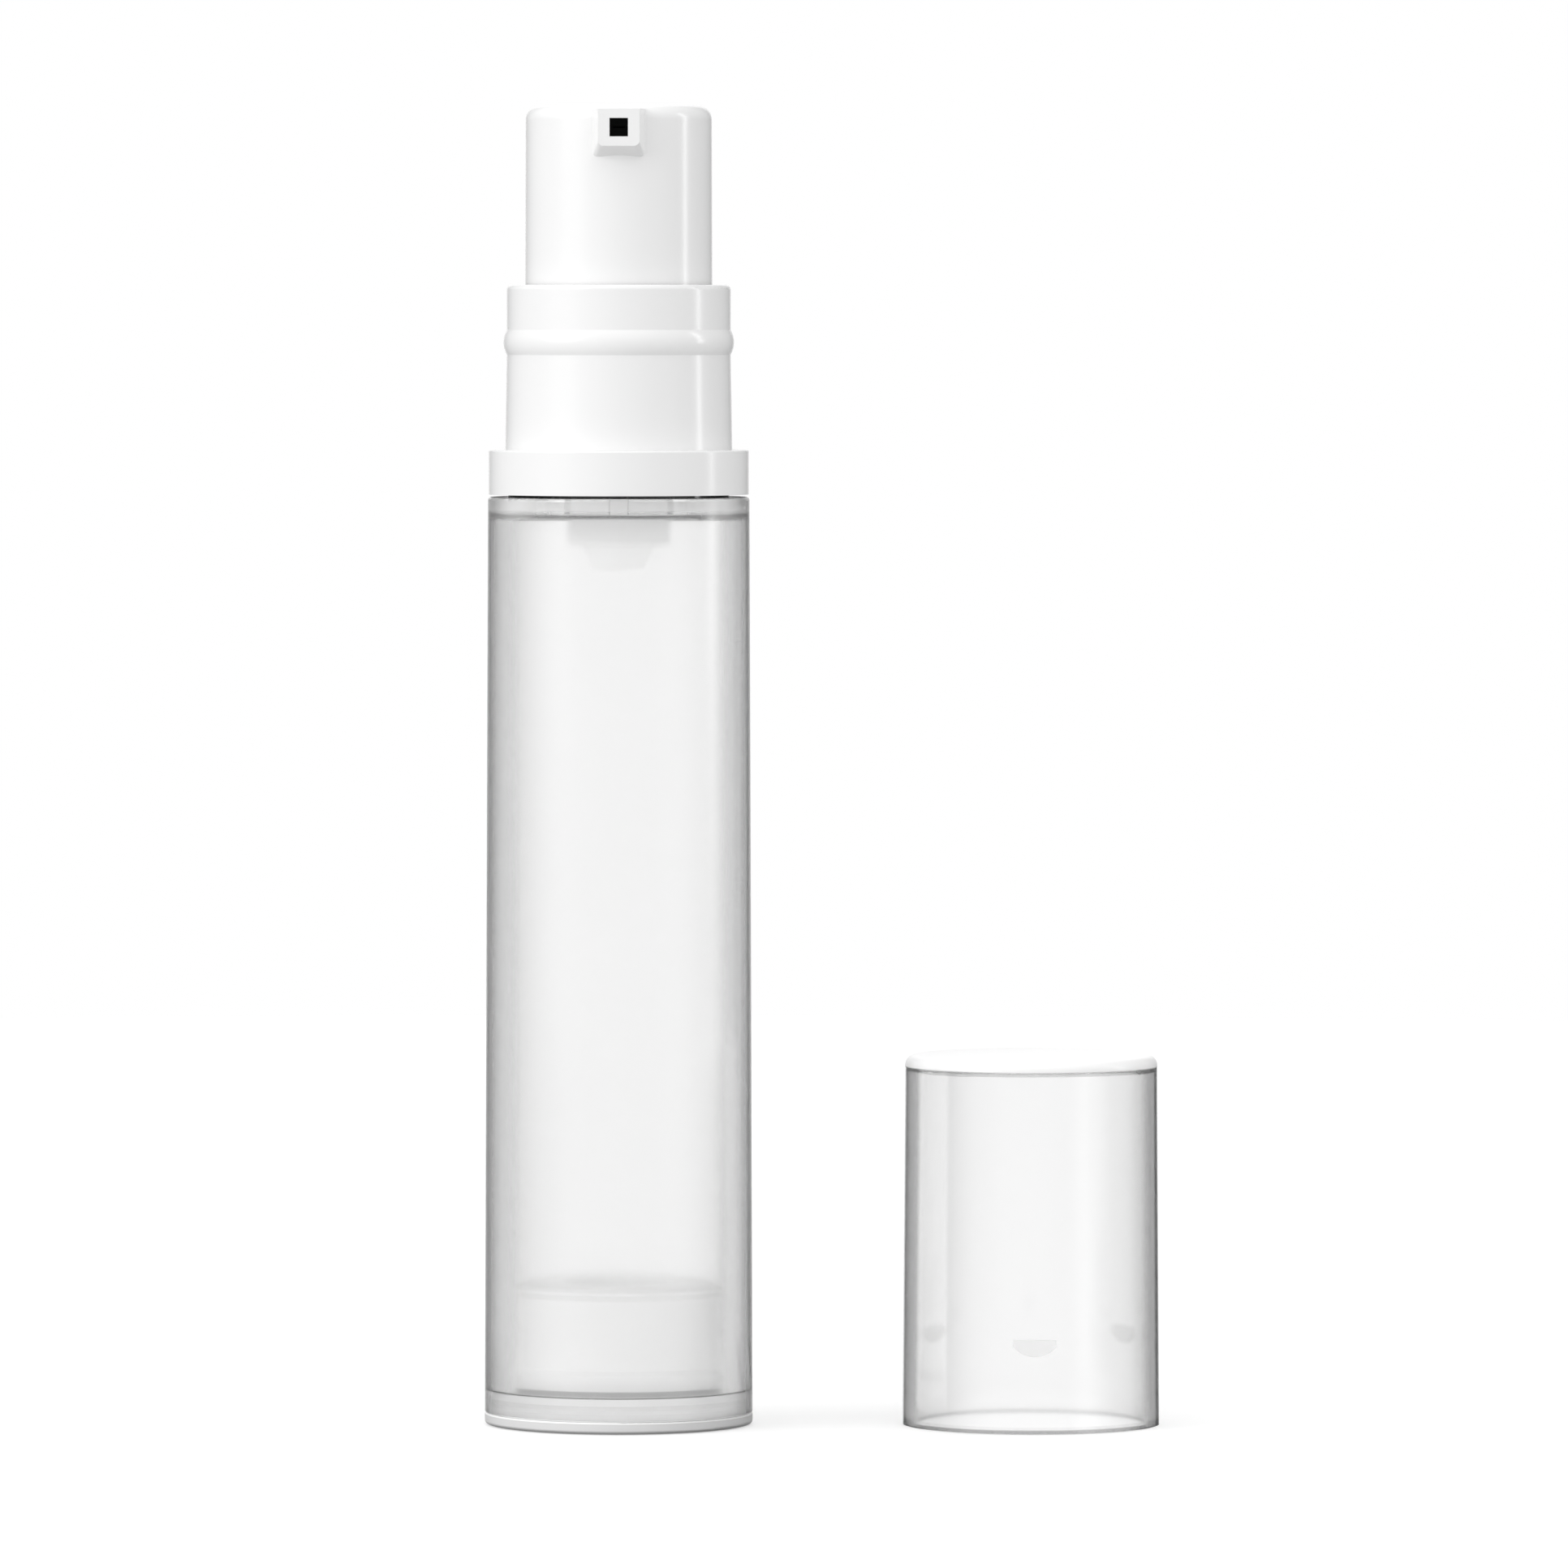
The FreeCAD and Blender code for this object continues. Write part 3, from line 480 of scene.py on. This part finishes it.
studio = {
    "floorRadius": 0.6,
    "floorCorners": 96,
    "floorLevel": -0.00005,
    "floorColour": ((0.48, 0.48, 0.48), (0.52, 0.52, 0.52)),
    "floorCloud": 3.0,
    "floorFixed": {"Roughness": 0.9, "Specular IOR Level": 0.1},
    "floorGlow": 0.53,
    "roomBack": 0.55,
    "roomFront": 0.82,
    "roomTop": 0.74,
    "frontEdge": (-0.2, 0.9),
    "topEdge": (0.4, 0.9),
    "throughSides": 0.79,
    "throughFront": 1.0,
    "backdropEdge": (0.65, 0.98),
    "glossBack": 0.08,
    "glossFront": 1.0,
    "glossBackdrop": (0.17, 0.34),
    "glossBackdropEdge": (-0.1, 0.1),
    "glossRight": 0.42,
    "glossRightStart": (0.5, 0.85),
    "glossRightEnd": (0.1, 0.45),
    "inside": 1.56,
    "bounceEdge": (0.4, 0.6),
    "aim": (0.012, 0.0, 0.06),
}
keyLamp = {
    "name": "keyLamp",
    "place": (-0.85, -0.5, 0.45),
    "size": (0.6, 0.6),
    "power": 4.8,
    "level": False,
}
stripLamp = {
    "name": "stripLamp",
    "place": (0.8, 0.0, 0.33),
    "size": (0.07, 0.54),
    "power": 0.95,
    "level": True,
}
view = {"place": (0.0, -1.04, 0.09365), "tilt": 2.2, "lens": 285.1, "sensor": 36, "shift": 0.1054}


def rayKinds(tree, *kinds):
    outputs = tree.nodes.new("ShaderNodeLightPath").outputs
    return [Value(outputs[kind]) for kind in kinds]


def addFloor():
    bpy.ops.object.select_all(action="DESELECT")
    bpy.ops.mesh.primitive_circle_add(
        vertices=studio["floorCorners"],
        radius=studio["floorRadius"],
        fill_type="NGON",
    )
    floor = bpy.context.object
    floor.name = "floor"
    floor.location.z = studio["floorLevel"]
    bpy.ops.object.transform_apply(location=True)
    material, shader, place = newFinish("paleFloor", studio["floorFixed"])
    tree = material.node_tree
    camera, gloss, through = rayKinds(tree, "Is Camera Ray", "Is Glossy Ray", "Is Transmission Ray")
    feed(shader, "Base Color", place.noise(studio["floorCloud"]).shades(*studio["floorColour"]))
    # the floor's own white is for the camera alone and lights nothing
    feed(shader, "Emission Color", camera)
    shader.inputs["Emission Strength"].default_value = studio["floorGlow"]
    # gloss and clear plastic show the backdrop through the floor, so it has no edge in them
    away = place.node("ShaderNodeBsdfTransparent")
    shown = Value(shader.outputs[0])
    either = place.node("ShaderNodeMixShader", {}, {0: gloss.orMore(through), 1: shown, 2: away})
    tree.links.new(either.socket, tree.nodes["Material Output"].inputs["Surface"])
    floor.data.materials.append(material)


def lightWorld():
    world = bpy.data.worlds.new("studio")
    bpy.context.scene.world = world
    world.use_nodes = True
    tree = world.node_tree
    kinds = ("Is Camera Ray", "Is Glossy Ray", "Is Transmission Ray", "Diffuse Depth")
    camera, gloss, through, depth = rayKinds(tree, *kinds)
    way = Value(tree.nodes.new("ShaderNodeTexCoord").outputs["Generated"])
    across = way.axis("X")
    back = way.axis("Y")
    front = (0.0 - back).step(*studio["frontEdge"])
    # what lights the pieces from outside
    room = blend(front, studio["roomBack"], studio["roomFront"])
    room = room + way.axis("Z").step(*studio["topEdge"]) * studio["roomTop"]
    # what gloss mirrors: bright front and backdrop, dim sides, a soft light at the right
    straight = 1 - across.absolute().step(*studio["glossBackdrop"])
    straight = straight * back.step(*studio["glossBackdropEdge"])
    right = across.step(*studio["glossRightStart"]) * (1 - back.step(*studio["glossRightEnd"]))
    shine = blend(front, studio["glossBack"], studio["glossFront"])
    shine = shine + straight * (1 - studio["glossBack"]) + right * studio["glossRight"]
    # what shows through clear plastic, and what lights the pieces inside the tube through its wall
    seen = blend(back.step(*studio["backdropEdge"]), studio["throughSides"], 1.0)
    seen = seen + front * (studio["throughFront"] - studio["throughSides"])
    seen = blend(depth.step(*studio["bounceEdge"]), seen, studio["inside"])
    level = blend(gloss, room, shine)
    level = blend(through, level, seen)
    level = blend(camera, level, 1.0)
    background = tree.nodes["Background"].inputs
    tree.links.new(level.socket, background["Strength"])
    background["Color"].default_value = (1, 1, 1, 1)


def addLamp(settings):
    bpy.ops.object.light_add(type="AREA", location=settings["place"])
    lamp = bpy.context.object
    lamp.name = settings["name"]
    lamp.data.shape = "RECTANGLE"
    lamp.data.size, lamp.data.size_y = settings["size"]
    lamp.data.energy = settings["power"]
    lamp.visible_transmission = False
    way = bpy.data.objects["bottleAim"].location - lamp.location
    if settings["level"]:
        way.z = 0
    lamp.rotation_euler = way.to_track_quat("-Z", "Y").to_euler()


def addCamera():
    upright = math.radians(90 - view["tilt"])
    bpy.ops.object.camera_add(location=view["place"], rotation=(upright, 0, 0))
    camera = bpy.context.object
    camera.data.lens = view["lens"]
    camera.data.sensor_width = view["sensor"]
    camera.data.shift_x = view["shift"]
    bpy.context.scene.camera = camera


addFloor()
lightWorld()
bpy.ops.object.empty_add(location=studio["aim"])
bpy.context.object.name = "bottleAim"
addLamp(keyLamp)
addLamp(stripLamp)
addCamera()
bpy.context.scene.view_settings.view_transform = "Standard"
print("studio done")
